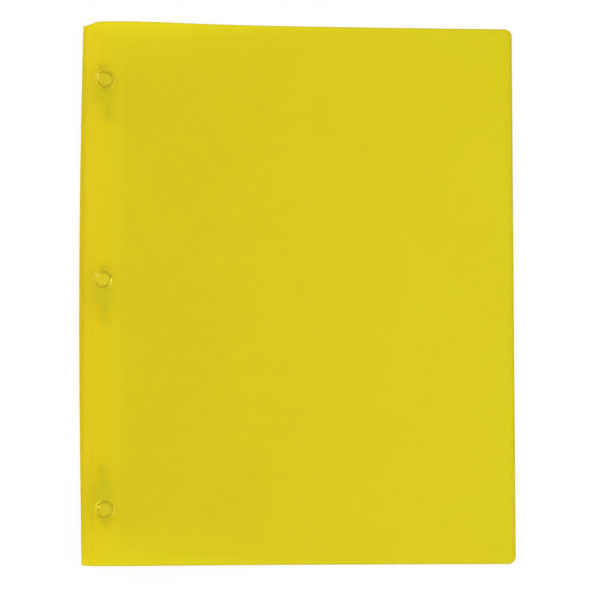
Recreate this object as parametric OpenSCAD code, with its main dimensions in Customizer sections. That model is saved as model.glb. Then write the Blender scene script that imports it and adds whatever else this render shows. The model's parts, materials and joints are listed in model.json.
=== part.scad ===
// Prong fastener folder: a polypropylene report cover that lies closed on its back cover.
// X runs from the spine to the fore edge, Y up the page and Z away from the table.

/* [Cover] */
// Width over all, from the foot of the spine to the fore edge of the front cover
cover_w = 234; // [200:1:270]
// Height of the cover along the spine
cover_h = 292; // [280:1:340]
// Thickness of the sheet
sheet_t = 0.5; // [0.35:0.05:0.7]
// Radius of the corners at the fore edge
corner_r = 4; // [1:0.5:12]
// Gap between the two covers at the fore edge when the folder is closed
fore_gap = 0.3; // [0.2:0.1:2]
// Width over which the front cover falls from the score towards the back cover
fall_w = 46; // [30:1:70]

/* [Spine] */
// Width of the spine between its two creases
spine_w = 11.5; // [10:0.5:16]
// Angle between the spine and the table when the folder is closed
spine_lean = 56; // [50:1:80]
// How much thinner each face of a crease is than the sheet
crease_thin = 0.03; // [0.01:0.01:0.06]
// Clearance where one panel turns past another
hinge_clear = 0.08; // [0.05:0.01:0.15]

/* [Binding margin] */
// Width of the margin between the front crease and the score
margin_w = 17.3; // [16.5:0.1:24]
// Thickness left under the score
score_web = 0.3; // [0.2:0.05:0.34]
// Radius of the middle of a weld ring
ring_r = 4.15; // [3:0.05:4.4]
// Half the width of a weld ring's ridge, which is also its height
ridge_r = 0.35; // [0.2:0.05:0.4]

/* [Binding strip] */
// Width of the strip
strip_w = 14.2; // [12:0.1:15]
// Length of the strip
strip_h = 270; // [260:1:279]
// Thickness of the strip
strip_t = 0.5; // [0.3:0.05:0.7]
// Radius of the strip's corners
strip_corner_r = 3; // [1:0.5:5]
// Distance of the strip from the front crease
strip_inset = 1.1; // [0.6:0.1:1.6]
// How far the middle of the strip lies below the middle of the cover
strip_drop = 1.1; // [0:0.1:2]

/* [Prong fasteners] */
// Distance between neighbouring fasteners along the spine
prong_pitch = 107.95; // [100:0.05:110]
// Distance of the prong line from the front crease
prong_inset = 5.62; // [5.5:0.01:7]
// Distance of each weld ring from its fastener
ring_offset = 7.5; // [7.5:0.1:9]
// Thickness of the metal
metal_t = 0.3; // [0.2:0.05:0.4]
// Width of a leg
leg_w = 4.3; // [3:0.1:5]
// Reach of a leg from the middle of its fastener
leg_reach = 16.4; // [12:0.1:22]
// Width of the base plate
base_w = 9.5; // [7:0.1:10]
// Reach of the base plate towards its weld ring
base_near = 2.5; // [1.5:0.1:2.6]
// Reach of the base plate away from its weld ring
base_far = 5.5; // [3:0.1:7]
// Radius of the base plate's corners
base_corner_r = 1.2; // [0.3:0.1:1.4]
// Gap between the two legs where they stand in the slot
leg_gap = 0.2; // [0.15:0.05:0.4]
// Swell of the bend at the root of a leg
bend_swell = 0.02; // [0.01:0.01:0.04]
// Clearance of the base plate between the margin and the strip
trap_clear = 0.03; // [0.02:0.01:0.1]
// Clearance of a folded leg under the strip
leg_clear = 0.05; // [0.03:0.01:0.1]
// Clearance round the legs in their slot
slot_clear = 0.15; // [0.1:0.05:0.4]
// Turn of the top fastener in its slot
top_turn = 7; // [-10:0.5:10]
// Turn of the middle fastener in its slot
middle_turn = -2; // [-10:0.5:10]
// Turn of the bottom fastener in its slot
bottom_turn = 4.5; // [-10:0.5:10]

/* [Hidden] */
$fn = 64;

cover_colour = [0.86, 0.79, 0.14];
strip_colour = [0.80, 0.72, 0.16];
metal_colour = [0.74, 0.74, 0.76];

// Cross section: the rear crease, the front crease and the score, from the spine to the fore edge
half_w = cover_w / 2;
sheet_r = sheet_t / 2;
rear_x = sheet_r - half_w;
rear_z = sheet_r;
front_x = rear_x + spine_w * cos(spine_lean);
front_z = rear_z + spine_w * sin(spine_lean);
margin_top = front_z + sheet_r;
margin_low = front_z - sheet_r;
score_x = front_x + margin_w;
score_start = score_web + hinge_clear;

// Where the panels begin, clear of each other when the folder is closed
rear_start = sheet_r / tan(spine_lean / 2) + hinge_clear;
front_start = sheet_r + hinge_clear;

// Front cover: a bell-shaped fall from the score to the fore edge
fore_z = sheet_t + fore_gap + sheet_t;
fall_run = half_w - score_x;
fall_end = 1 / (1 + pow(fall_run / fall_w, 2));
fall_steps = 48;

// Levels under the margin: base plates, strip and folded legs
base_top = margin_low - trap_clear;
base_low = base_top - metal_t;
strip_top = base_low - trap_clear;
strip_low = strip_top - strip_t;
hinge_z = strip_low - leg_clear - metal_t / 2;
hinge_y = leg_gap / 2 + metal_t / 2;
bend_r = metal_t / 2 + bend_swell;
neck_low = hinge_z + bend_r + bend_swell;

// Fasteners from top to bottom, with the side of each one on which its weld ring lies
prong_x = front_x + prong_inset;
prong_ys = [for (row = [1, 0, -1]) row * prong_pitch - strip_drop];
turns = [top_turn, middle_turn, bottom_turn];
ring_sides = [1, 1, -1];

// Slots that clear the pair of legs at the largest turn
neck_t = leg_gap + 2 * metal_t;
most_turn = max([for (turn = turns) abs(turn)]);
slot_x = leg_w * cos(most_turn) + neck_t * sin(most_turn) + 2 * slot_clear;
slot_y = neck_t * cos(most_turn) + leg_w * sin(most_turn) + 2 * slot_clear;

arc_steps = 8;

// Points of an arc about a centre, from one angle to another
function arc(centre, radius, from, to) =
  [for (i = [0:arc_steps]) centre + radius * [cos(from + (to - from) * i / arc_steps),
                                              sin(from + (to - from) * i / arc_steps)]];

// Height of the front cover's outer face at a distance from the score, and its slope there
function fall_z(d) =
  fore_z + (margin_top - fore_z) * (1 / (1 + pow(d / fall_w, 2)) - fall_end) / (1 - fall_end);
function fall_slope(d) =
  -(margin_top - fore_z) * 2 * d / pow(fall_w, 2) / pow(1 + pow(d / fall_w, 2), 2) / (1 - fall_end);

// A point of the front cover's section, at a depth under its outer face
function fall_point(d, depth) =
  [score_x + d, fall_z(d)] + depth * [fall_slope(d), -1] / norm([fall_slope(d), 1]);

// Draws a cross section in X and Z and runs it along the page
module along_page(length) {
  rotate([90, 0, 0])
    linear_extrude(length, center = true)
      children();
}

// Plan of a rectangle between two corners, with all four corners round
module round_plate(low, high, radius) {
  polygon(concat(
    arc([high.x - radius, high.y - radius], radius, 0, 90),
    arc([low.x + radius, high.y - radius], radius, 90, 180),
    arc([low.x + radius, low.y + radius], radius, 180, 270),
    arc([high.x - radius, low.y + radius], radius, 270, 360)));
}

// Plan of a panel that is square at the spine and round at the fore edge
module panel_plan(x_low, x_high) {
  half_h = cover_h / 2;
  polygon(concat(
    [[x_low, half_h], [x_low, -half_h]],
    arc([x_high - corner_r, corner_r - half_h], corner_r, 270, 360),
    arc([x_high - corner_r, half_h - corner_r], corner_r, 0, 90)));
}

// Round crease about its own hinge line, with the tab that joins it to the next panel
module crease(x, z, tab) {
  tab_t = sheet_t - 2 * crease_thin;
  color(cover_colour)
    along_page(cover_h)
      translate([x, z]) {
        circle(r = sheet_r);
        translate([0, -tab_t / 2])
          square([tab, tab_t]);
      }
}

// Back cover, which ends at the same fore edge as the closed front cover
module back_cover() {
  color(cover_colour)
    linear_extrude(sheet_t)
      panel_plan(rear_x + rear_start, half_w);
}

module rear_crease() {
  crease(rear_x, rear_z, rear_start);
}

module spine_panel() {
  color(cover_colour)
    translate([rear_x, 0, rear_z])
      rotate([0, -spine_lean, 0])
        translate([rear_start, -cover_h / 2, -sheet_r])
          cube([spine_w - rear_start - front_start, cover_h, sheet_t]);
}

module front_crease() {
  crease(front_x, front_z, front_start);
}

// Ridge that the welding tool leaves on the outer face, with its land down to the strip
module weld_ring() {
  translate([0, 0, margin_top])
    rotate_extrude()
      translate([ring_r, 0])
        circle(r = ridge_r);
  translate([0, 0, strip_top])
    difference() {
      cylinder(r = ring_r + ridge_r, h = margin_top - strip_top - sheet_r);
      translate([0, 0, -sheet_r])
        cylinder(r = ring_r - ridge_r, h = margin_low - strip_top + sheet_r);
    }
}

module binding_margin() {
  color(cover_colour) {
    translate([front_x + front_start, -cover_h / 2, margin_low])
      cube([margin_w - front_start - score_web, cover_h, sheet_t]);
    for (i = [0:2])
      translate([prong_x, prong_ys[i] + ring_sides[i] * ring_offset, 0])
        weld_ring();
  }
}

// Thin web under the score, which turns about a line on the outer face
module score_hinge() {
  color(cover_colour)
    along_page(cover_h)
      translate([score_x, margin_top])
        intersection() {
          union() {
            circle(r = score_web);
            translate([-score_web, -score_web])
              square(score_web);
          }
          translate([-score_web, -score_web])
            square([2 * score_web, score_web]);
        }
}

module front_cover() {
  steps = [for (i = [0:fall_steps]) score_start + (fall_run - score_start) * i / fall_steps];
  color(cover_colour)
    intersection() {
      along_page(cover_h)
        polygon(concat(
          [for (d = steps) fall_point(d, 0)],
          [for (i = [fall_steps:-1:0]) fall_point(steps[i], sheet_t)]));
      linear_extrude(margin_top + sheet_t)
        panel_plan(score_x, half_w);
    }
}

module binding_strip() {
  low = [front_x + strip_inset, -strip_h / 2 - strip_drop];
  color(strip_colour)
    difference() {
      translate([0, 0, strip_low])
        linear_extrude(strip_t)
          round_plate(low, low + [strip_w, strip_h], strip_corner_r);
      for (y = prong_ys)
        translate([prong_x, y, strip_low + strip_t / 2])
          cube([slot_x, slot_y, 2 * strip_t], center = true);
    }
}

// Places a fastener's own frame, with its middle at the origin and its ring on the far side in Y
module at_fastener(i) {
  translate([prong_x, prong_ys[i], 0])
    rotate([0, 0, turns[i]])
      children();
}

// Base plate under the margin, with two necks that stand in the slot
module fastener_base(i) {
  near = ring_sides[i] > 0 ? base_near : base_far;
  far = ring_sides[i] > 0 ? base_far : base_near;
  color(metal_colour)
    at_fastener(i) {
      translate([0, 0, base_low])
        linear_extrude(metal_t)
          round_plate([-base_w / 2, -far], [base_w / 2, near], base_corner_r);
      for (side = [-1, 1])
        translate([-leg_w / 2, side * hinge_y - metal_t / 2, neck_low])
          cube([leg_w, metal_t, base_top - metal_t / 2 - neck_low]);
    }
}

// Leg folded flat under the strip, which turns about the bend at its root
module leg(i, side) {
  length = leg_reach - hinge_y;
  tip_r = leg_w / 2;
  color(metal_colour)
    at_fastener(i)
      translate([0, side * hinge_y, hinge_z]) {
        rotate([0, 90, 0])
          cylinder(r = bend_r, h = leg_w, center = true);
        translate([0, 0, -metal_t / 2])
          linear_extrude(metal_t)
            rotate([0, 0, side > 0 ? 0 : 180])
              polygon(concat([[-tip_r, 0], [tip_r, 0]], arc([0, length - tip_r], tip_r, 0, 180)));
      }
}

module top_fastener_base() {
  fastener_base(0);
}

module top_upper_leg() {
  leg(0, 1);
}

module top_lower_leg() {
  leg(0, -1);
}

module middle_fastener_base() {
  fastener_base(1);
}

module middle_upper_leg() {
  leg(1, 1);
}

module middle_lower_leg() {
  leg(1, -1);
}

module bottom_fastener_base() {
  fastener_base(2);
}

module bottom_upper_leg() {
  leg(2, 1);
}

module bottom_lower_leg() {
  leg(2, -1);
}

back_cover();
rear_crease();
spine_panel();
front_crease();
binding_margin();
score_hinge();
front_cover();
binding_strip();
top_fastener_base();
top_upper_leg();
top_lower_leg();
middle_fastener_base();
middle_upper_leg();
middle_lower_leg();
bottom_fastener_base();
bottom_upper_leg();
bottom_lower_leg();
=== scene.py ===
"""Looks of a prong fastener folder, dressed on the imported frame.

The folder is one creased sheet of translucent yellow polypropylene, a strip
welded inside its binding margin, and three tinned steel prong fasteners.
All lengths are metres in the frame's own axes.
"""

import json
import logging
import math
from dataclasses import dataclass
from enum import Enum
from typing import Any, Mapping, Sequence, Union

import bmesh
import bpy
from bpy.types import Material, Object
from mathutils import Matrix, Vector


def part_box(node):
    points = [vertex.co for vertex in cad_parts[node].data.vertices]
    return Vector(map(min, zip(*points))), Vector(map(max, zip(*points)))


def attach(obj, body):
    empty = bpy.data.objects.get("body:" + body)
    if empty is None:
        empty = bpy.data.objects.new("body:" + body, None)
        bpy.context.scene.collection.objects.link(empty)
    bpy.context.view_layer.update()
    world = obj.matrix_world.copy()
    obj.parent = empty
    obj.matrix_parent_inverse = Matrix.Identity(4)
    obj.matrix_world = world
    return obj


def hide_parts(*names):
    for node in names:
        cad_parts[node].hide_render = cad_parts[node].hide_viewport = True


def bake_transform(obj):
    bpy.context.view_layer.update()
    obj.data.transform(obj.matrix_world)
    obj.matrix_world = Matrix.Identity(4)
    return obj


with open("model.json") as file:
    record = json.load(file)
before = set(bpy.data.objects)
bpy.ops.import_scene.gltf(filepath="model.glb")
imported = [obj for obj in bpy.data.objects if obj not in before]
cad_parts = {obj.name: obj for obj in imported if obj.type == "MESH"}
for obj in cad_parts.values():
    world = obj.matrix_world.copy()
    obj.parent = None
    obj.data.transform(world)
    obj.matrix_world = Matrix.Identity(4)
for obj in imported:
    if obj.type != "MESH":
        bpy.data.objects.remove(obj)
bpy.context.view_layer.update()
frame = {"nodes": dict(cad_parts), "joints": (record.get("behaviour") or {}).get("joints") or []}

LOG = logging.getLogger("prong_folder")
MM = 0.001
IMAGE_PX = 600
SENSOR = 36.0
MERGE = 1e-6
WHITE = (1.0, 1.0, 1.0, 1.0)
Colour = tuple[float, float, float]
Place = tuple[float, float, float]


class Row(Enum):
    """The three prong fasteners, from the head of the folder to its foot."""

    TOP = "top"
    MIDDLE = "middle"
    BOTTOM = "bottom"


class Fold(Enum):
    """Which way along the page a leg of a fastener is folded."""

    UPPER = "upper"
    LOWER = "lower"


def joint(name: str) -> Mapping[str, Any]:
    """Find a joint of the frame.

    Args:
        name: The joint's name in the record.

    Returns:
        The joint's entry in the record.
    """
    return next(entry for entry in frame["joints"] if entry["name"] == name)


def smooth(share: float) -> float:
    """Ease a share from 0 to 1.

    Args:
        share: How far along, clamped to 0 and 1.

    Returns:
        The eased share.
    """
    share = min(1.0, max(0.0, share))
    return share * share * (3.0 - 2.0 * share)


def spread(first: float, last: float, steps: int, bunch: float = 1.0) -> list[float]:
    """Share a stretch into steps.

    Args:
        first: Where it starts, which isn't listed.
        last: Where it ends.
        steps: How many places.
        bunch: Above 1, the places crowd towards the start.

    Returns:
        The places in order.
    """
    span = last - first
    return [first + span * (step / steps) ** bunch for step in range(1, steps + 1)]


class Term:
    """A node's output that takes part in Python arithmetic."""

    def __init__(self, graph: "Graph", socket: Any) -> None:
        """Hold an output socket and the graph that its maths goes into."""
        self.graph = graph
        self.socket = socket

    def maths(self, operation: str, left: "Input", right: "Input" = 0.0) -> "Term":
        """Add a Math node.

        Args:
            operation: The Math node's operation.
            left: Its first value.
            right: Its second value.

        Returns:
            The node's value.
        """
        kind = "ShaderNodeMath"
        return self.graph.add(kind, {"operation": operation}, {0: left, 1: right})

    def __add__(self, other: "Input") -> "Term":
        """Add."""
        return self.maths("ADD", self, other)

    def __sub__(self, other: "Input") -> "Term":
        """Subtract."""
        return self.maths("SUBTRACT", self, other)

    def __rsub__(self, other: "Input") -> "Term":
        """Subtract from a number."""
        return self.maths("SUBTRACT", other, self)

    def __mul__(self, other: "Input") -> "Term":
        """Multiply."""
        return self.maths("MULTIPLY", self, other)

    __rmul__ = __mul__

    def __truediv__(self, other: "Input") -> "Term":
        """Divide."""
        return self.maths("DIVIDE", self, other)

    def __pow__(self, other: "Input") -> "Term":
        """Raise to a power."""
        return self.maths("POWER", self, other)

    def least(self, other: "Input") -> "Term":
        """Take the smaller of two values."""
        return self.maths("MINIMUM", self, other)

    def most(self, other: "Input") -> "Term":
        """Take the larger of two values."""
        return self.maths("MAXIMUM", self, other)

    def sine(self) -> "Term":
        """Take the sine."""
        return self.maths("SINE", self)

    def cosine(self) -> "Term":
        """Take the cosine."""
        return self.maths("COSINE", self)

    def hump(self) -> "Term":
        """Make a rounded hump: 1 at 0, and less and less away from it."""
        return self.maths("EXPONENT", self * self * -1.0)


Input = Union[Term, float, int, bool, Sequence[float], bpy.types.ID]


class Graph:
    """A node tree that is written as Python expressions."""

    def __init__(self, tree: bpy.types.NodeTree) -> None:
        """Start from an empty tree."""
        self.tree = tree
        tree.nodes.clear()

    def add(
        self,
        kind: str,
        settings: Mapping[str, Any] | None = None,
        inputs: Mapping[Union[str, int], Input] | None = None,
        out: Union[str, int] = 0,
    ) -> Term:
        """Add one node.

        Args:
            kind: The node's type.
            settings: Properties that are set first.
            inputs: A number, colour or link for each named socket.
            out: The output to give back.

        Returns:
            That output, or an empty term for a node without outputs.
        """
        node = self.tree.nodes.new(kind)
        for name, value in (settings or {}).items():
            setattr(node, name, value)
        for key, value in (inputs or {}).items():
            if isinstance(value, Term):
                self.tree.links.new(value.socket, node.inputs[key])
            else:
                node.inputs[key].default_value = value
        return Term(self, node.outputs[out] if len(node.outputs) else None)

    def vector(self, x: Input = 0.0, y: Input = 0.0, z: Input = 0.0) -> Term:
        """Join three numbers to a vector."""
        return self.add("ShaderNodeCombineXYZ", {}, {0: x, 1: y, 2: z})

    def parts(self, vector: Term) -> list[Term]:
        """Split a vector into its three numbers."""
        split = self.add("ShaderNodeSeparateXYZ", {}, {0: vector})
        return [Term(self, socket) for socket in split.socket.node.outputs]

    def attribute(self, name: str) -> Term:
        """Read a number that a mesh keeps at its points."""
        return self.add("ShaderNodeAttribute", {"attribute_name": name}, {}, "Fac")

    def store(self, mesh: Term, name: str, value: Term) -> Term:
        """Keep a number at each point of a mesh."""
        inputs = {"Geometry": mesh, "Name": name, "Value": value}
        return self.add("GeometryNodeStoreNamedAttribute", {}, inputs)

    def grid(self, width: Input, across: int, along: int) -> Term:
        """Lay a grid of the given points, as wide as is said and 1 m long."""
        inputs = {"Size X": width, "Size Y": 1.0, "Vertices X": across, "Vertices Y": along}
        return self.add("GeometryNodeMeshGrid", {}, inputs)

    def move(self, mesh: Term, **by: Term) -> Term:
        """Put a mesh's points at a Position, or shift them by an Offset."""
        return self.add("GeometryNodeSetPosition", {}, {"Geometry": mesh, **by})

    def join(self, *meshes: Term) -> Term:
        """Put meshes together and merge the points that they share."""
        both = self.add("GeometryNodeJoinGeometry")
        for mesh in meshes:
            self.tree.links.new(mesh.socket, both.socket.node.inputs[0])
        return self.merge(both)

    def merge(self, mesh: Term) -> Term:
        """Merge points that lie in one place."""
        inputs = {"Geometry": mesh, "Distance": MERGE}
        return self.add("GeometryNodeMergeByDistance", {}, inputs)

    def realize(self, mesh: Term) -> Term:
        """Turn instances into a plain mesh."""
        return self.add("GeometryNodeRealizeInstances", {}, {0: mesh})

    def stamp(self, points: Term, mesh: Term) -> Term:
        """Set a plain copy of a mesh at each point."""
        inputs = {"Points": points, "Instance": mesh}
        return self.realize(self.add("GeometryNodeInstanceOnPoints", {}, inputs))

    def dress(self, mesh: Term, finish: Term, where: Input = True) -> Term:
        """Give a mesh's chosen faces a material."""
        inputs = {"Geometry": mesh, "Selection": where, "Material": finish}
        return self.add("GeometryNodeSetMaterial", {}, inputs)

    def noise(self, place: Term, scale: Input, detail: float = 2.0) -> Term:
        """Add a noise pattern.

        Args:
            place: Where on the surface.
            scale: Features to a metre.
            detail: Octaves.

        Returns:
            The pattern, about 0.3 to 0.7.
        """
        values = {"Vector": place, "Scale": scale, "Detail": detail}
        return self.add("ShaderNodeTexNoise", {}, values)

    def bump(self, height: Term, strength: float, distance: float) -> Term:
        """Turn a pattern of heights into a surface's normal."""
        inputs = {"Height": height, "Strength": strength, "Distance": distance}
        return self.add("ShaderNodeBump", {}, inputs)

    def tint(self, share: Input, low: Input, high: Input) -> Term:
        """Mix two colours.

        Args:
            share: 0 for the first, 1 for the second.
            low: The first colour.
            high: The second colour.

        Returns:
            The mixed colour.
        """
        settings = {"data_type": "RGBA", "clamp_factor": True}
        # The Mix node's sockets share their names, so they go by number.
        return self.add("ShaderNodeMix", settings, {0: share, 6: low, 7: high}, 2)


def rgba(colour: Colour) -> tuple[float, float, float, float]:
    """Give a colour its alpha."""
    return (*colour, 1.0)


def new_material(name: str) -> tuple[Material, Graph]:
    """Start an empty material.

    Args:
        name: The material's name.

    Returns:
        The material and its graph.
    """
    made = bpy.data.materials.new(name)
    made.use_nodes = True
    return made, Graph(made.node_tree)


def add_object(name: str, data: bpy.types.ID) -> Object:
    """Put a new object into the scene.

    Args:
        name: The object's name.
        data: Its mesh, lamp or camera.

    Returns:
        The object, at the origin.
    """
    obj = bpy.data.objects.new(name, data)
    bpy.context.scene.collection.objects.link(obj)
    return obj


@dataclass(frozen=True)
class PolyFinish:
    """Satin polypropylene that lets part of the light through.

    The deep and pale colours mottle the sheet. The dark tone and shade colour
    is partly the darker tone of a die-cut edge or of melted plastic and partly
    painted shade at cut edges, at the spine's foot, on the front crease and in
    the welds' grooves. The warm shade colour is painted shade: darker and
    warmer on the spine, fading across the front, and on the welds' skirts. The
    glow is the colour of the light that passes. The clear share of a thin strip
    lets what touches it show through. Polish is how much smoother the melted
    plastic is, and gleam is the colour of its reflections. Cloud, grain and
    fleck are features to a metre of its three noise patterns.
    """

    name: str
    deep: Colour
    pale: Colour
    dark_tone_and_shade: Colour
    warm_shade_colour: Colour
    glow: Colour
    passes: float
    roughness: float
    specular: float
    cloud: float = 22.0
    grain: float = 2600.0
    fleck: float = 420.0
    cloud_tint: float = 1.5
    fleck_tint: float = 0.6
    grain_matt: float = 0.16
    fleck_matt: float = 0.1
    fleck_relief: float = 0.5
    relief: float = 0.012 * MM
    relief_strength: float = 0.35
    clear: float = 0.0
    polish: float = 0.75
    gleam: Colour = (1.0, 1.0, 1.0)
    ior: float = 1.5

    def material(self) -> Material:
        """Build the material.

        Returns:
            The new material.
        """
        made, graph = new_material(self.name)
        place = graph.add("ShaderNodeTexCoord", out="Object")
        cloud = graph.noise(place, self.cloud, detail=3.0)
        fleck = graph.noise(place, self.fleck)
        grain = graph.noise(place, self.grain, detail=3.0)
        mottle = (cloud - 0.5) * self.cloud_tint + (fleck - 0.5) * self.fleck_tint + 0.5
        body = graph.tint(mottle, rgba(self.deep), rgba(self.pale))
        # Painted shade: the warm shade colour, then the dark tone and shade colour, which is
        # partly a cut edge's or melted plastic's own darker tone.
        body = graph.tint(graph.attribute("warm_shade"), body, rgba(self.warm_shade_colour))
        colour = graph.tint(graph.attribute("dark_tone_and_shade"), body, rgba(self.dark_tone_and_shade))
        height = grain + fleck * self.fleck_relief
        bump = graph.bump(height, self.relief_strength, self.relief)
        uneven = (grain - 0.5) * self.grain_matt + (fleck - 0.5) * self.fleck_matt
        matt = uneven + self.roughness
        satin = graph.add(
            "ShaderNodeBsdfPrincipled",
            {},
            {
                "Base Color": colour,
                "Roughness": matt * (1.0 - graph.attribute("gloss") * self.polish),
                "Specular IOR Level": self.specular,
                "Specular Tint": rgba(self.gleam),
                "IOR": self.ior,
                "Normal": bump,
            },
        )
        glow = graph.add(
            "ShaderNodeBsdfTranslucent", {}, {"Color": rgba(self.glow), "Normal": bump}
        )
        sheet = graph.add("ShaderNodeMixShader", {}, {0: self.passes, 1: satin, 2: glow})
        if self.clear:
            film = graph.add("ShaderNodeBsdfTransparent", {}, {"Color": rgba(self.glow)})
            sheet = graph.add("ShaderNodeMixShader", {}, {0: self.clear, 1: sheet, 2: film})
        graph.add("ShaderNodeOutputMaterial", {}, {"Surface": sheet})
        return made


@dataclass(frozen=True)
class SeamFinish:
    """The inside of the sheet where two of its meshes meet: nothing at all."""

    name: str = "open_seam"

    def material(self) -> Material:
        """Build the material.

        Returns:
            The new material.
        """
        made, graph = new_material(self.name)
        clear = graph.add("ShaderNodeBsdfTransparent")
        graph.add("ShaderNodeOutputMaterial", {}, {"Surface": clear})
        return made


@dataclass(frozen=True)
class SteelFinish:
    """Tinned sheet steel with rolling lines and dull spots.

    Rolling and spot are features to a metre, and stretch draws the rolling
    lines out along the page.
    """

    name: str
    dark: Colour
    light: Colour
    roughness: float
    rolling: float = 5200.0
    spot: float = 900.0
    stretch: float = 0.04
    rolling_tint: float = 0.7
    spot_tint: float = 0.3
    spot_matt: float = 0.3
    relief: float = 0.006 * MM
    relief_strength: float = 0.4

    def material(self) -> Material:
        """Build the material.

        Returns:
            The new material.
        """
        made, graph = new_material(self.name)
        place = graph.add("ShaderNodeTexCoord", out="Object")
        along = graph.add(
            "ShaderNodeMapping", {}, {"Vector": place, "Scale": (1.0, self.stretch, 1.0)}
        )
        rolling = graph.noise(along, self.rolling)
        spot = graph.noise(place, self.spot, detail=3.0)
        shade = rolling * self.rolling_tint + spot * self.spot_tint
        colour = graph.tint(shade, rgba(self.dark), rgba(self.light))
        bump = graph.bump(rolling, self.relief_strength, self.relief)
        steel = graph.add(
            "ShaderNodeBsdfPrincipled",
            {},
            {
                "Base Color": colour,
                "Metallic": 1.0,
                "Roughness": (spot - 0.5) * self.spot_matt + self.roughness,
                "Normal": bump,
            },
        )
        graph.add("ShaderNodeOutputMaterial", {}, {"Surface": steel})
        return made


# The dark tone and shade colours below are partly a cut edge's own tone and partly painted
# shade; the warm shade colours are painted shade.
COVER_POLY = PolyFinish(
    name="cover_polypropylene",
    deep=(0.95, 0.905, 0.038),
    pale=(0.98, 0.945, 0.046),
    dark_tone_and_shade=(0.54, 0.48, 0.020),
    warm_shade_colour=(0.985, 0.845, 0.022),
    glow=(0.985, 0.940, 0.010),
    passes=0.73,
    roughness=0.52,
    specular=0.25,
)
STRIP_POLY = PolyFinish(
    name="strip_polypropylene",
    deep=(0.99, 0.87, 0.012),
    pale=(1.00, 0.91, 0.014),
    dark_tone_and_shade=(0.70, 0.55, 0.010),
    warm_shade_colour=(0.97, 0.83, 0.010),
    glow=(1.0, 0.98, 0.060),
    passes=0.25,
    roughness=0.40,
    specular=0.3,
    clear=0.80,
)
# The weld's dark tone and shade colour is melted plastic's tone with painted shade in the
# groove; its warm shade colour is painted shade on the skirt.
WELD_POLY = PolyFinish(
    name="welded_polypropylene",
    deep=(0.74, 0.64, 0.018),
    pale=(1.00, 0.91, 0.030),
    dark_tone_and_shade=(0.34, 0.27, 0.008),
    warm_shade_colour=(0.80, 0.71, 0.020),
    glow=(0.97, 0.90, 0.010),
    passes=0.46,
    roughness=0.50,
    specular=1.0,
    fleck=600.0,
    polish=0.84,
    gleam=(1.0, 0.88, 0.10),
    ior=2.10,
)
BRIGHT_TIN = SteelFinish(
    name="bright_tinned_steel",
    dark=(0.54, 0.54, 0.525),
    light=(0.68, 0.68, 0.66),
    roughness=0.38,
)
# Painted shade: a darker, rougher copy of the tinned steel for the legs' faces against the
# strip, which show dark through the plastic.
SHADED_DULL_TIN = SteelFinish(
    name="shaded_dull_inner_steel",
    dark=(0.27, 0.27, 0.264),
    light=(0.39, 0.39, 0.38),
    roughness=0.42,
)


def show(obj: Object, material: Material) -> None:
    """Give an object one material.

    Args:
        obj: A mesh object.
        material: Its finish.
    """
    obj.data.materials.clear()
    obj.data.materials.append(material)


def soften(obj: Object, degrees: float) -> None:
    """Shade a mesh smooth, with edges past an angle kept sharp.

    Args:
        obj: A mesh object.
        degrees: The angle between faces that stays an edge.
    """
    obj.data.polygons.foreach_set("use_smooth", [True] * len(obj.data.polygons))
    obj.data.set_sharp_from_angle(angle=math.radians(degrees))


def new_tree(name: str, inputs: Mapping[str, str]) -> tuple[Graph, dict[str, Term]]:
    """Start a Geometry Nodes tree with named inputs.

    Args:
        name: The tree's name.
        inputs: A socket type for each input, beside the geometry.

    Returns:
        The graph, and its inputs by name.
    """
    tree = bpy.data.node_groups.new(name, "GeometryNodeTree")
    face = tree.interface
    face.new_socket("Geometry", in_out="OUTPUT", socket_type="NodeSocketGeometry")
    labels = {"Geometry": "NodeSocketGeometry", **inputs}
    for label, kind in labels.items():
        face.new_socket(label, in_out="INPUT", socket_type=kind)
    graph = Graph(tree)
    sockets = graph.add("NodeGroupInput").socket.node.outputs
    return graph, {label: Term(graph, sockets[label]) for label in labels}


def grow(
    graph: Graph, name: str, seeds: Sequence[Vector], values: Mapping[str, Any]
) -> Object:
    """Run a Geometry Nodes tree and keep its result as a plain mesh.

    Args:
        graph: The tree.
        name: The new piece's name.
        seeds: Points that the tree starts from.
        values: The tree's inputs, by name.

    Returns:
        The new object.
    """
    start = bpy.data.meshes.new(name + "_seeds")
    start.from_pydata([tuple(seed) for seed in seeds], [], [])
    obj = add_object(name, start)
    modifier = obj.modifiers.new("shape", "NODES")
    modifier.node_group = graph.tree
    for item in graph.tree.interface.items_tree:
        if item.in_out == "INPUT" and item.name in values:
            modifier[item.identifier] = values[item.name]
    view = bpy.context.evaluated_depsgraph_get()
    grown = bpy.data.meshes.new_from_object(obj.evaluated_get(view))
    obj.modifiers.clear()
    obj.data = grown
    return obj


@dataclass(frozen=True)
class Station:
    """One line of the sheet, which runs along the page.

    Its middle is at x, z. The turn is the section's heading, with the outer
    face on its left. Outer and inner are the faces' distances from the
    middle, reach is half the line's length, and bow, droop and trim are the
    shares of the sheet's soft bends and of its short head that it takes. The
    dark tone and shade share marks a cut edge's darker tone with painted
    shade, and painted shade at the spine's foot and on the front crease. The
    warm shade share marks painted shade, darker and warmer, on the spine and
    the margin, fading across the front.
    """

    x: float
    z: float
    turn: float
    outer: float
    inner: float
    reach: float
    dark_tone_and_shade: float = 0.0
    warm_shade: float = 0.0
    bow: float = 0.0
    droop: float = 0.0
    trim: float = 0.0


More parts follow.
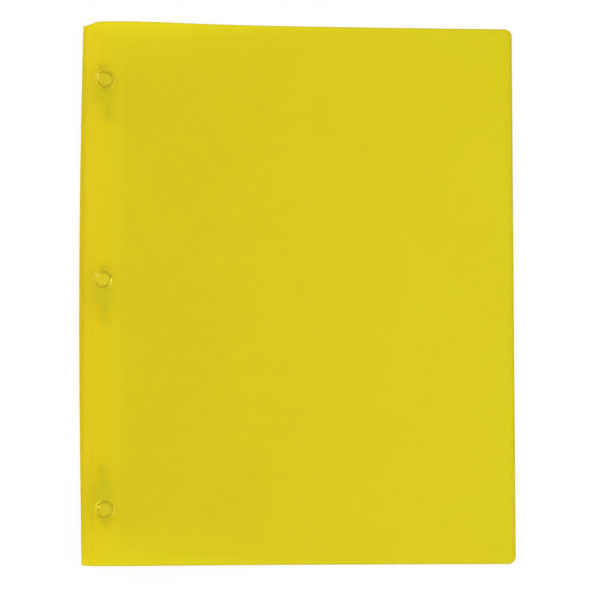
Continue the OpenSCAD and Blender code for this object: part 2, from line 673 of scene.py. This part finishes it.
@dataclass
class Cover:
    """The creased sheet: back, spine, binding margin and front in one piece.

    It is made as three meshes that meet where nothing bends, so each one
    turns at one crease only. The bow and the skew push the foot of the spine
    outwards, the droop and the trim pinch its ends, and the steps count the
    lines of each stretch.
    """

    sheet: float = 0.5 * MM
    corner: float = 4.0 * MM
    edge: float = 0.12 * MM
    edge_fade: float = 0.8 * MM
    # Cut edges darken: partly the edge's own darker tone, partly painted shade on the edge.
    wall_tone_and_shade: float = 0.5
    face_tone_and_shade: float = 0.9
    rear_radius: float = 0.45 * MM
    front_radius: float = 4.0 * MM
    lean: float = math.radians(56.0)
    fall: float = 46.0 * MM
    fore_outer: float = 1.3 * MM
    margin_seam: float = 9.0 * MM
    score_depth: float = 0.03 * MM
    score_half: float = 0.6 * MM
    score_width: float = 0.42 * MM
    score_span: float = 1.5 * MM
    slope_step: float = 0.05 * MM
    bow: float = 2.33 * MM
    bow_end: float = 0.07
    bow_run: float = 45.0 * MM
    bow_rise: float = 2.6 * MM
    skew: float = 0.74 * MM
    head_trim: float = 0.95 * MM
    droop_head: float = 2.8 * MM
    droop_foot: float = 0.5 * MM
    droop_run: float = 12.0 * MM
    droop_fade: float = 4.5 * MM
    # Painted warm shade on the spine, fading onto the margin, with a smaller share fading across
    # the front to the fore edge.
    warm_shade_fade: float = 3.0 * MM
    front_warm_shade: float = 0.3
    # Painted shade: the spine's foot darker as it turns from the light, and the front crease
    # darker to dim the lamp's highlight.
    foot_shade: float = 0.6
    crest_shade: float = 0.16
    foot_run: float = 3.8 * MM
    columns: int = 72
    corner_steps: int = 12
    corner_skip: int = 3
    back_steps: int = 40
    back_bunch: float = 1.6
    arc_steps: int = 14
    foot_steps: int = 6
    top_steps: int = 4
    margin_steps: int = 14
    score_steps: int = 24
    front_steps: int = 64
    front_bunch: float = 1.3
    sharp: float = 50.0

    def __post_init__(self) -> None:
        """Read the creases and the outline from the frame."""
        self.rear = Vector(joint("rear_crease")["pos_m"])
        self.front = Vector(joint("front_crease")["pos_m"])
        self.score = Vector(joint("score")["pos_m"])
        back_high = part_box("back_cover")[1]
        self.back_edge = back_high.x
        self.fore_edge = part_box("front_cover")[1].x
        self.half = back_high.y

    def reach(self, from_edge: float) -> float:
        """Give half the sheet's length near a rounded fore edge.

        Args:
            from_edge: Distance from the fore edge.

        Returns:
            Half the length along the page there.
        """
        gap = max(0.0, self.corner - max(0.0, from_edge))
        return self.half - self.corner + math.sqrt(self.corner**2 - gap**2)

    def cut_steps(self) -> list[tuple[float, float, float]]:
        """List the lines that round off a cut edge.

        Returns:
            Distance from the edge, thickness taken off each face, and the
            share of the edge's darker tone and painted shade.
        """
        return [
            (0.0, self.edge, self.wall_tone_and_shade),
            (self.edge, 0.0, self.face_tone_and_shade),
            (self.edge_fade, 0.0, 0.0),
        ]

    def edge_steps(self) -> list[tuple[float, float, float]]:
        """List the lines that round off the fore edge and its corners.

        Returns:
            Distance from the edge, thickness taken off each face, and the
            share of the edge's darker tone and painted shade.
        """
        steps = self.cut_steps()
        for step in range(self.corner_skip, self.corner_steps + 1):
            angle = step / self.corner_steps * math.pi / 2
            steps.append((self.corner * (1 - math.cos(angle)), 0.0, 0.0))
        return [step for step in steps if step[0] <= self.corner]

    def droop_share(self, x: float) -> float:
        """Give how much of the end's droop a line takes.

        Args:
            x: The line's place across the folder.

        Returns:
            1 on the spine, and less and less past the front crease.
        """
        return math.exp(-max(0.0, x - self.front.x) / self.droop_fade)

    def line(self, x: float, z: float, turn: float, near: float = 1.0) -> Station:
        """Make a plain line of the back or the spine, away from its edges.

        Args:
            x: Place across the folder.
            z: Height of the sheet's middle.
            turn: The section's heading.
            near: How near the rear crease a line of the back is.

        Returns:
            The line.
        """
        half = self.sheet / 2
        rise = z - self.rear.z
        climb = rise / (self.front.z - self.rear.z)
        part = turn / self.lean
        # Painted shade at the spine's foot, which turns from the light, and on the front crease,
        # against the lamp's highlight.
        shade = self.foot_shade * max(0.0, 1 - rise / self.foot_run) ** 2
        shade += self.crest_shade * max(0.0, 4 * part * (1 - part))
        # The warm shade share paints the spine and the crease above it darker and warmer.
        return Station(
            x, z, turn, half, half, self.half,
            dark_tone_and_shade=shade if turn < math.pi else 0.0,
            warm_shade=smooth(rise / self.sheet),
            bow=near * max(0.0, 1 - rise / self.bow_rise) ** 2,
            droop=0.0 if turn > math.pi / 2 else self.droop_share(x),
            trim=near * (1 - climb**2),
        )

    def seam(self) -> tuple[float, float]:
        """Place the seam halfway up the spine, where nothing bends."""
        middle = (self.rear + self.front) / 2
        return middle.x, middle.z

    def back_lines(self) -> list[Station]:
        """List the lines from the back's fore edge to halfway up the spine.

        Returns:
            The lines in order.
        """
        half, z = self.sheet / 2, self.rear.z
        lines = [
            Station(
                self.back_edge - away, z, math.pi, half - thin, half - thin,
                self.reach(away), dark_tone_and_shade=dark_tone_and_shade,
            )
            for away, thin, dark_tone_and_shade in self.edge_steps()
        ]
        tangent = self.rear_radius * math.tan((math.pi - self.lean) / 2)
        first, last = lines[-1].x, self.rear.x + tangent
        places = spread(last, first, self.back_steps, self.back_bunch)
        for x in (*reversed(places[:-1]), last):
            near = smooth(1 - (x - last) / self.bow_run)
            lines.append(self.line(x, z, math.pi, near))
        centre = (self.rear.x + tangent, z + self.rear_radius)
        lines += self.arc_lines(centre, self.rear_radius, math.pi, self.lean)
        lines += self.spine_lines(tangent, 0.5, self.foot_steps)
        return lines

    def arc_lines(
        self, centre: tuple[float, float], radius: float, first: float, last: float
    ) -> list[Station]:
        """List the lines round a crease.

        Args:
            centre: The arc's centre, across and up.
            radius: Its radius at the sheet's middle.
            first: The heading before it.
            last: The heading after it.

        Returns:
            The lines after the first place, in order.
        """
        lines = []
        for turn in spread(first, last, self.arc_steps):
            x = centre[0] - radius * math.sin(turn)
            z = centre[1] + radius * math.cos(turn)
            lines.append(self.line(x, z, turn))
        return lines

    def spine_lines(self, tangent: float, stop: float, steps: int) -> list[Station]:
        """List lines that climb the flat of the spine.

        Args:
            tangent: Distance from the rear crease's apex to the first line.
            stop: Share of the spine at the last line.
            steps: How many lines.

        Returns:
            The lines after the first place, in order.
        """
        climb = self.front - self.rear
        lines = []
        for share in spread(tangent / climb.length, stop, steps):
            place = self.rear + climb * share
            lines.append(self.line(place.x, place.z, self.lean))
        return lines

    def spine_top_lines(self) -> list[Station]:
        """List the lines from halfway up the spine to the binding margin.

        Returns:
            The lines in order.
        """
        climb = self.front - self.rear
        stop = 1 - self.front_tangent / climb.length
        x, z = self.seam()
        lines = [self.line(x, z, self.lean)]
        lines += self.spine_lines(climb.length / 2, stop, self.top_steps)
        foot = self.rear + climb * stop
        centre = (
            foot.x + self.front_radius * math.sin(self.lean),
            foot.z - self.front_radius * math.cos(self.lean),
        )
        lines += self.arc_lines(centre, self.front_radius, self.lean, 0.0)
        lines.append(self.line(self.margin_start, self.front.z, 0.0))
        return lines

    @property
    def front_tangent(self) -> float:
        """Give how far the front crease's arc reaches from its apex."""
        return self.front_radius * math.tan(self.lean / 2)

    @property
    def margin_flat(self) -> float:
        """Place the end of the front crease's arc."""
        return self.front.x + self.front_tangent

    @property
    def margin_start(self) -> float:
        """Place the seam on the flat margin beside the front crease."""
        return self.rear.x - self.sheet / 2 + self.margin_seam

    def outer_height(self, x: float) -> float:
        """Give the front's outer height, which falls to the fore edge.

        Args:
            x: Place across the folder.

        Returns:
            Height of the outer face.
        """
        away = max(0.0, x - self.score.x)
        run = self.fore_edge - self.score.x
        last = 1 / (1 + (run / self.fall) ** 2)
        share = (1 / (1 + (away / self.fall) ** 2) - last) / (1 - last)
        return self.fore_outer + (self.score.z - self.fore_outer) * share

    def front_line(self, x: float, thin: float, reach: float, dark_tone_and_shade: float) -> Station:
        """Make a line of the margin or the front from its outer height.

        Args:
            x: Place across the folder.
            thin: Thickness taken off each face at a cut edge.
            reach: Half the line's length along the page.
            dark_tone_and_shade: Share of a cut edge's darker tone and painted shade.

        Returns:
            The line.
        """
        step = self.slope_step
        rise = self.outer_height(x + step) - self.outer_height(x - step)
        turn = math.atan2(rise, 2 * step)
        half = self.sheet / 2
        off = (x - self.score.x) / self.score_width
        groove = self.score_depth * math.exp(-(off**2))
        # The warm shade share is painted shade; at cut edges the share of darker tone includes
        # painted shade.
        return Station(
            x + math.sin(turn) * half,
            self.outer_height(x) - math.cos(turn) * half,
            turn, half - thin - groove, half - thin, reach,
            dark_tone_and_shade=dark_tone_and_shade, warm_shade=self.warm_shade_share(x), droop=self.droop_share(x),
        )

    def warm_shade_share(self, x: float) -> float:
        """Give how much painted warm shade a line of the margin or the front takes.

        Args:
            x: The line's place across the folder.

        Returns:
            1 beside the spine, then a part that fades to the fore edge.
        """
        near = smooth(1 - (x - self.margin_start) / self.warm_shade_fade)
        past = min(1.0, (self.fore_edge - x) / (self.fore_edge - self.score.x))
        return near + (1 - near) * self.front_warm_shade * past

    def front_lines(self) -> list[Station]:
        """List the lines from the binding margin to the front's fore edge.

        Returns:
            The lines in order.
        """
        start = self.margin_start
        near, far = self.score.x - self.score_span, self.score.x + self.score_span
        ends = self.edge_steps()
        stop = self.fore_edge - ends[-1][0]
        places = [start, *spread(start, near, self.margin_steps)]
        places += spread(near, far, self.score_steps)
        places += spread(far, stop, self.front_steps, self.front_bunch)[:-1]
        lines = [self.front_line(x, 0.0, self.half, 0.0) for x in places]
        lines += [
            self.front_line(self.fore_edge - away, thin, self.reach(away), dark_tone_and_shade)
            for away, thin, dark_tone_and_shade in reversed(ends)
        ]
        return lines

    def rows(self, reach: float) -> list[tuple[float, float, float]]:
        """Space a line's points along the page.

        Args:
            reach: Half the line's length.

        Returns:
            Place, thickness taken off each face, and the share of the edge's
            darker tone and painted shade, for each point.
        """
        ends = self.cut_steps()
        first = [(-reach + away, thin, dark_tone_and_shade) for away, thin, dark_tone_and_shade in ends]
        inner = reach - self.edge_fade
        middle = [
            (inner * (2 * step / self.columns - 1), 0.0, 0.0)
            for step in range(1, self.columns)
        ]
        last = [(reach - away, thin, dark_tone_and_shade) for away, thin, dark_tone_and_shade in reversed(ends)]
        return first + middle + last

    def bend(self, station: Station, x: float, y: float, z: float) -> Vector:
        """Add the foot's bow, the ends' droop and the head's trim to a point.

        Args:
            station: The line that the point is on.
            x: Place across the folder.
            y: Place along the page.
            z: Height.

        Returns:
            The bent point.
        """
        along = y / self.half
        bulge = self.bow * (1 - (1 - self.bow_end) * along**2)
        across = station.bow * (bulge + self.skew * along)
        drop = self.droop_head if y > 0 else self.droop_foot
        drop *= (station.z - self.rear.z) / (self.front.z - self.rear.z)
        start = self.half - self.droop_run
        near_end = smooth((abs(y) - start) / self.droop_run)
        trim = self.head_trim * station.trim * near_end if y > 0 else 0.0
        return Vector((x - across, y - trim, z - drop * near_end * station.droop))

    def shell(
        self, name: str, lines: Sequence[Station], seams: Sequence[int]
    ) -> Object:
        """Build a closed sheet from its lines.

        Args:
            name: The piece's name.
            lines: The sheet's lines in order.
            seams: The ends, 0 or -1, that meet another mesh of the sheet.

        Returns:
            The new object.
        """
        mesh = bmesh.new()
        # Each point keeps its share of the edge's darker tone with painted shade, and of painted
        # warm shade.
        dark_tone_and_shade_layer = mesh.verts.layers.float.new("dark_tone_and_shade")
        warm_shade_layer = mesh.verts.layers.float.new("warm_shade")
        faces: list[list[list[bmesh.types.BMVert]]] = [[], []]
        for station in lines:
            normal = (-math.sin(station.turn), math.cos(station.turn))
            for side, sign in enumerate((1.0, -1.0)):
                row = []
                stand = station.outer if side == 0 else station.inner
                for y, thin, dark_tone_and_shade in self.rows(station.reach):
                    off = sign * (stand - thin)
                    x, z = station.x + normal[0] * off, station.z + normal[1] * off
                    vert = mesh.verts.new(self.bend(station, x, y, z))
                    vert[dark_tone_and_shade_layer] = max(dark_tone_and_shade, station.dark_tone_and_shade)
                    vert[warm_shade_layer] = station.warm_shade
                    row.append(vert)
                faces[side].append(row)
        outer, inner = faces
        for a, b in zip(range(len(lines) - 1), range(1, len(lines))):
            for i in range(len(outer[a]) - 1):
                mesh.faces.new((outer[a][i], outer[b][i], outer[b][i + 1], outer[a][i + 1]))
                mesh.faces.new((inner[a][i], inner[a][i + 1], inner[b][i + 1], inner[b][i]))
            for i in (0, -1):
                mesh.faces.new((outer[a][i], inner[a][i], inner[b][i], outer[b][i]))
        for a in (0, -1):
            for i in range(len(outer[a]) - 1):
                wall = mesh.faces.new(
                    (outer[a][i], outer[a][i + 1], inner[a][i + 1], inner[a][i])
                )
                wall.material_index = 1 if a in seams else 0
        bmesh.ops.recalc_face_normals(mesh, faces=mesh.faces)
        data = bpy.data.meshes.new(name)
        mesh.to_mesh(data)
        mesh.free()
        obj = add_object(name, data)
        soften(obj, self.sharp)
        return obj

    def build(self, material: Material, seam: Material) -> list[Object]:
        """Build and dress the three meshes of the sheet.

        Args:
            material: The cover's finish.
            seam: What the hidden ends at the seams get.

        Returns:
            The pieces.
        """
        back = self.shell("back_sheet", self.back_lines(), (-1,))
        spine = self.shell("spine_sheet", self.spine_top_lines(), (0, -1))
        front = self.shell("front_sheet", self.front_lines(), (0,))
        for piece in (back, spine, front):
            piece.data.materials.append(material)
            piece.data.materials.append(seam)
        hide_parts("back_cover", "rear_crease")
        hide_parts("spine_panel", "front_crease")
        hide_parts("binding_margin", "score_hinge", "front_cover")
        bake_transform(back)
        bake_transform(spine)
        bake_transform(front)
        return [back, spine, front]


@dataclass
class WeldRings:
    """The three pressed rings where the strip is welded to the margin.

    Each one is a low pad of melt with a groove pressed round it. The groove
    is darkened by the melted plastic's tone and by painted shade in it, and
    the skirt outside it by painted shade against its reflection. Coarse and
    fine are features to a metre of the noise that makes it uneven.
    """

    pad: float = 5.8 * MM
    skirt: float = 1.2 * MM
    rise: float = 0.36 * MM
    groove: float = 4.0 * MM
    groove_half: float = 0.48 * MM
    melt_shade_width: float = 1.5
    depth: float = 0.40 * MM
    wander: float = 2.4 * MM
    ripple: float = 0.10 * MM
    bury: float = 0.10 * MM
    crease: float = 4.25 * MM
    coarse: float = 300.0
    fine: float = 1300.0
    uneven: float = 1.2
    calm: float = 0.6
    melt_shade_spread: float = 3.6
    melt_shade_least: float = 0.7
    points_round: int = 121
    points_out: int = 58
    sharp: float = 60.0
    centres: tuple[tuple[float, float], ...] = (
        (11.5 * MM, 114.1 * MM),
        (11.1 * MM, 6.2 * MM),
        (12.7 * MM, -116.4 * MM),
    )

    def tree(self) -> Graph:
        """Write the tree that presses a weld at each seed point.

        Returns:
            The graph.
        """
        sizes = dict.fromkeys(
            (
                "Pad", "Skirt", "Rise", "Groove", "Half", "MeltShade", "Depth", "Wander",
                "Ripple", "Bury", "Flat", "Crease", "Coarse", "Fine",
            ),
            "NodeSocketFloat",
        )
        graph, size = new_tree("weld_ring", {**sizes, "Finish": "NodeSocketMaterial"})
        flat = graph.grid(1.0, self.points_round, self.points_out)
        across, along, _ = graph.parts(graph.add("GeometryNodeInputPosition"))
        turn = (across + 0.5) * math.tau
        radius = (along + 0.5) * size["Pad"]
        up = ((size["Pad"] - radius) / size["Skirt"]).least(1.0)
        level = up * up * (3.0 - 2.0 * up) * (size["Rise"] + size["Bury"])
        marked = graph.store(flat, "away", radius)
        x, y = radius * turn.cosine(), radius * turn.sine()
        pad, under = (
            graph.move(marked, Position=graph.vector(x, y, height))
            for height in (level - size["Bury"], size["Bury"] * -1.0)
        )
        top = self.melt(graph, pad, size)
        closed = graph.join(top, graph.stamp(size["Geometry"], under))
        over = (size["Flat"] - across).most(0.0)
        bend = size["Crease"]
        drop = (bend * bend - over * over) ** 0.5 - bend
        laid = graph.move(closed, Offset=graph.vector(z=drop))
        dressed = graph.dress(graph.realize(laid), size["Finish"])
        graph.add("NodeGroupOutput", {}, {0: dressed})
        return graph

    def melt(self, graph: Graph, pad: Term, size: Mapping[str, Term]) -> Term:
        """Set a pad at each seed point and press its uneven groove, darkened by melt tone and
        painted shade.

        Args:
            graph: The tree.
            pad: The even pad's upper face.
            size: The tree's inputs.

        Returns:
            The finished upper faces.
        """
        plain = graph.stamp(size["Geometry"], pad)
        plain = graph.add("GeometryNodeFlipFaces", {}, {"Mesh": plain})
        place = graph.add("GeometryNodeInputPosition")
        away = graph.add(
            "GeometryNodeInputNamedAttribute", {"data_type": "FLOAT"}, {"Name": "away"}
        )
        coarse = graph.noise(place, size["Coarse"]) - 0.5
        fine = graph.noise(place, size["Fine"]) - 0.5
        off = (away + coarse * size["Wander"] - size["Groove"]) / size["Half"]
        pit = off.hump()
        dark = (off / size["MeltShade"]).hump()
        inland = ((size["Pad"] - away) / size["Skirt"]).least(1.0)
        press = pit * size["Depth"] * (fine * self.uneven + 1.0) * -1.0
        rough = fine * size["Ripple"] * (pit + self.calm)
        moved = graph.move(plain, Offset=graph.vector(z=(press + rough) * inland))
        # The groove is darkened by the melted plastic's tone and by painted shade; the skirt
        # outside it gets painted warm shade against its reflection.
        melt_tone_and_shade = dark * (fine * self.melt_shade_spread + self.melt_shade_least)
        melt_tone_and_shade = melt_tone_and_shade.least(1.0).most(0.0)
        outside = (off - 1.0).least(1.0).most(0.0)
        for label, value in (("dark_tone_and_shade", melt_tone_and_shade), ("gloss", dark), ("warm_shade", outside)):
            moved = graph.store(moved, label, value)
        return moved

    def build(self, material: Material, flat: float) -> Object:
        """Build the rings and hang them on the binding margin.

        Args:
            material: The welded plastic's finish.
            flat: Where across the folder the flat of the margin starts.

        Returns:
            The piece.
        """
        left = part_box("back_cover")[0].x
        top = joint("score")["pos_m"][2]
        seeds = [Vector((left + across, y, top)) for across, y in self.centres]
        values = {
            "Pad": self.pad, "Skirt": self.skirt, "Rise": self.rise,
            "Groove": self.groove, "Half": self.groove_half, "MeltShade": self.melt_shade_width,
            "Depth": self.depth, "Wander": self.wander, "Ripple": self.ripple,
            "Bury": self.bury, "Flat": flat, "Crease": self.crease,
            "Coarse": self.coarse, "Fine": self.fine, "Finish": material,
        }
        rings = grow(self.tree(), "weld_rings", seeds, values)
        soften(rings, self.sharp)
        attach(rings, "binding_margin")
        return rings


@dataclass
class Prongs:
    """Three tinned steel fasteners: a base plate and two folded legs each."""

    width: float = 4.3 * MM
    thickness: float = 0.3 * MM
    bend_radius: float = 0.24 * MM
    bend_reach: float = 0.5 * MM
    points_across: int = 9
    points_along: int = 64
    root_bunch: float = 1.8
    inner_facing: float = 0.5
    sharp: float = 40.0

    def tree(self) -> Graph:
        """Write the tree of one leg, bent at its root with a round tip.

        Returns:
            The graph.
        """
        sizes = dict.fromkeys(
            ("Width", "Length", "Thickness", "Bend", "Turn"), "NodeSocketFloat"
        )
        finishes = dict.fromkeys(("Finish", "Inner"), "NodeSocketMaterial")
        inputs = {**sizes, "Root": "NodeSocketVector", **finishes}
        graph, size = new_tree("prong_leg", inputs)
        flat = graph.grid(size["Width"], self.points_across, self.points_along)
        across, share, _ = graph.parts(graph.add("GeometryNodeInputPosition"))
        length, bend = size["Length"], size["Bend"]
        along = (share + 0.5).most(0.0) ** self.root_bunch * length
        to_tip = ((length - along) / (size["Width"] * 0.5)).least(1.0)
        taper = (1.0 - (1.0 - to_tip) ** 2.0).most(0.0) ** 0.5
        angle = (along / bend).least(math.pi / 2)
        out = bend * (1.0 - angle.cosine()) + (along - bend * (math.pi / 2)).most(0.0)
        down = bend * (1.0 - angle.sine())
        spot = graph.vector(across * taper, out, down)
        tongue = graph.merge(graph.move(flat, Position=spot))
        normal = graph.add("GeometryNodeInputNormal")
        shift = graph.add(
            "ShaderNodeVectorMath", {"operation": "SCALE"},
            {"Vector": normal, "Scale": size["Thickness"] * -0.5},
        )
        under = graph.move(tongue, Offset=shift)
        raised = graph.add(
            "GeometryNodeExtrudeMesh", {},
            {"Mesh": under, "Offset Scale": size["Thickness"], "Individual": False},
        )
        base = graph.add("GeometryNodeFlipFaces", {}, {"Mesh": under})
        closed = graph.join(raised, base)
        turn = graph.vector(z=size["Turn"])
        set_down = graph.add(
            "GeometryNodeTransform", {},
            {"Geometry": closed, "Translation": size["Root"], "Rotation": turn},
        )
        dressed = graph.dress(graph.realize(set_down), size["Finish"])
        # The faces that lie against the strip get the darker steel: painted shade, where they
        # show dark through the plastic.
        facing = graph.parts(normal)[2]
        against = facing.maths("GREATER_THAN", facing, self.inner_facing)
        dressed = graph.dress(dressed, size["Inner"], against)
        graph.add("NodeGroupOutput", {}, {0: dressed})
        return graph

    def build(self, bright: Material, dull: Material) -> list[Object]:
        """Build the legs and dress the bases.

        Args:
            bright: The steel's finish.
            dull: A darker, rougher copy of the steel for the legs' faces that lie
                against the strip: painted shade, as these faces show dark through
                the plastic.

        Returns:
            The legs.
        """
        graph = self.tree()
        finishes = {"Finish": bright, "Inner": dull}
        legs = []
        for row in Row:
            show(frame["nodes"][f"{row.value}_fastener_base"], bright)
            for fold in Fold:
                node = f"{row.value}_{fold.value}_leg"
                legs.append(self.leg(graph, node, finishes))
        return legs

    def leg(self, graph: Graph, node: str, finishes: Mapping[str, Material]) -> Object:
        """Build one leg in the place of its node.

        Args:
            graph: The leg's tree.
            node: The CAD node and body that it stands for.
            finishes: The tree's materials, by input.

        Returns:
            The piece.
        """
        hinge = joint(node + "_bend")
        root, axis = Vector(hinge["pos_m"]), Vector(hinge["axis"])
        heading = Vector((axis.y, -axis.x, 0.0)).normalized()
        low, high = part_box(node)
        corners = [Vector((x, y, 0.0)) for x in (low.x, high.x) for y in (low.y, high.y)]
        along = max((Vector((c.x, c.y, root.z)) - root).dot(heading) for c in corners)
        side = abs(heading.x) * self.width / 2
        flat = along - side * abs(heading.x)
        values = {
            "Width": self.width,
            "Length": flat + self.bend_radius * (math.pi / 2 - 1),
            "Thickness": self.thickness,
            "Bend": self.bend_radius,
            "Turn": math.atan2(-heading.x, heading.y),
            "Root": tuple(root),
            **finishes,
        }
        leg = grow(graph, node + "_tongue", [Vector()], values)
        soften(leg, self.sharp)
        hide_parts(node)
        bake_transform(leg)
        return leg


@dataclass
class Studio:
    """Pale floor, soft lights and a camera above the folder."""

    camera_at: Place = (-59.63 * MM, -92.38 * MM, 1066.84 * MM)
    camera_tilt: tuple[float, float, float] = (0.06784, -0.05631, -0.00048)
    camera_sees: tuple[float, float] = (0.01, 50.0)
    focal_px: float = 1979.84
    centre_px: tuple[float, float] = (0.0, 30.0)
    ambient: float = 0.46
    key: float = 36.5
    key_at: Place = (-1.90, 0.76, 1.37)
    key_size: float = 1.2
    fill: float = 8.5
    fill_at: Place = (0.95, -0.30, 0.90)
    fill_size: float = 0.8
    floor_drop: float = 0.15 * MM
    floor_half: float = 4.0
    floor_share: float = 0.88
    floor_glow: float = 1.02
    floor_colour: Colour = (0.80, 0.80, 0.80)

    def camera(self) -> None:
        """Place the camera as the photograph has it."""
        data = bpy.data.cameras.new("copy_stand")
        data.sensor_width = SENSOR
        data.lens = self.focal_px * SENSOR / IMAGE_PX
        data.shift_x = -self.centre_px[0] / IMAGE_PX
        data.shift_y = self.centre_px[1] / IMAGE_PX
        data.clip_start, data.clip_end = self.camera_sees
        stand = add_object("copy_stand", data)
        stand.location = self.camera_at
        stand.rotation_euler = self.camera_tilt
        bpy.context.scene.camera = stand

    def lamp(self, name: str, at: Place, size: float, power: float) -> None:
        """Hang a soft lamp that faces the folder.

        Args:
            name: The lamp's name.
            at: Its place.
            size: Its width.
            power: Its watts.
        """
        data = bpy.data.lights.new(name, "AREA")
        data.shape = "DISK"
        data.size = size
        data.energy = power
        lamp = add_object(name, data)
        lamp.location = at
        lamp.rotation_euler = Vector(at).to_track_quat("Z", "Y").to_euler()

    def seen_white(self, graph: Graph) -> Term:
        """Tell the rays that see the pale background.

        Args:
            graph: The floor's graph.

        Returns:
            1 for a camera, glossy or transmission ray that isn't scattered.
        """
        rays = graph.add("ShaderNodeLightPath").socket.node.outputs
        seen, glossy, passed, scattered = (
            Term(graph, rays[f"Is {kind} Ray"])
            for kind in ("Camera", "Glossy", "Transmission", "Diffuse")
        )
        return (seen + glossy + passed).least(1.0) * (1.0 - scattered)

    def world(self) -> None:
        """Make the room: white to look at, dimmer as a light."""
        world = bpy.data.worlds.new("studio")
        world.use_nodes = True
        graph = Graph(world.node_tree)
        room, white = (
            graph.add("ShaderNodeBackground", {}, {"Color": WHITE, "Strength": strength})
            for strength in (self.ambient, 1.0)
        )
        path = graph.add("ShaderNodeLightPath", out="Is Camera Ray")
        seen = graph.add("ShaderNodeMixShader", {}, {0: path, 1: room, 2: white})
        graph.add("ShaderNodeOutputWorld", {}, {"Surface": seen})
        bpy.context.scene.world = world

    def floor(self) -> None:
        """Lay the pale floor."""
        half, z = self.floor_half, -self.floor_drop
        data = bpy.data.meshes.new("floor")
        corners = [(-half, -half, z), (half, -half, z), (half, half, z), (-half, half, z)]
        data.from_pydata(corners, [], [(0, 1, 2, 3)])
        made, graph = new_material("pale_floor")
        paper = graph.add(
            "ShaderNodeBsdfDiffuse", {}, {"Color": rgba(self.floor_colour)}
        )
        white = graph.add(
            "ShaderNodeEmission", {}, {"Color": WHITE, "Strength": self.floor_glow}
        )
        share = self.seen_white(graph) * self.floor_share
        mixed = graph.add("ShaderNodeMixShader", {}, {0: share, 1: paper, 2: white})
        graph.add("ShaderNodeOutputMaterial", {}, {"Surface": mixed})
        floor = add_object("floor", data)
        show(floor, made)

    def build(self) -> None:
        """Set up the whole studio."""
        self.camera()
        self.world()
        self.floor()
        self.lamp("key_lamp", self.key_at, self.key_size, self.key)
        self.lamp("fill_lamp", self.fill_at, self.fill_size, self.fill)
        bpy.context.scene.view_settings.view_transform = "Standard"


def main() -> None:
    """Build the studio and dress every piece of the folder."""
    logging.basicConfig(level=logging.INFO, format="%(name)s: %(message)s")
    Studio().build()
    cover = Cover()
    pieces = cover.build(COVER_POLY.material(), SeamFinish().material())
    pieces.append(WeldRings().build(WELD_POLY.material(), cover.margin_flat))
    show(frame["nodes"]["binding_strip"], STRIP_POLY.material())
    pieces += Prongs().build(BRIGHT_TIN.material(), SHADED_DULL_TIN.material())
    for piece in pieces:
        LOG.info("%s: %d faces", piece.name, len(piece.data.polygons))


if __name__ == "__main__":
    main()
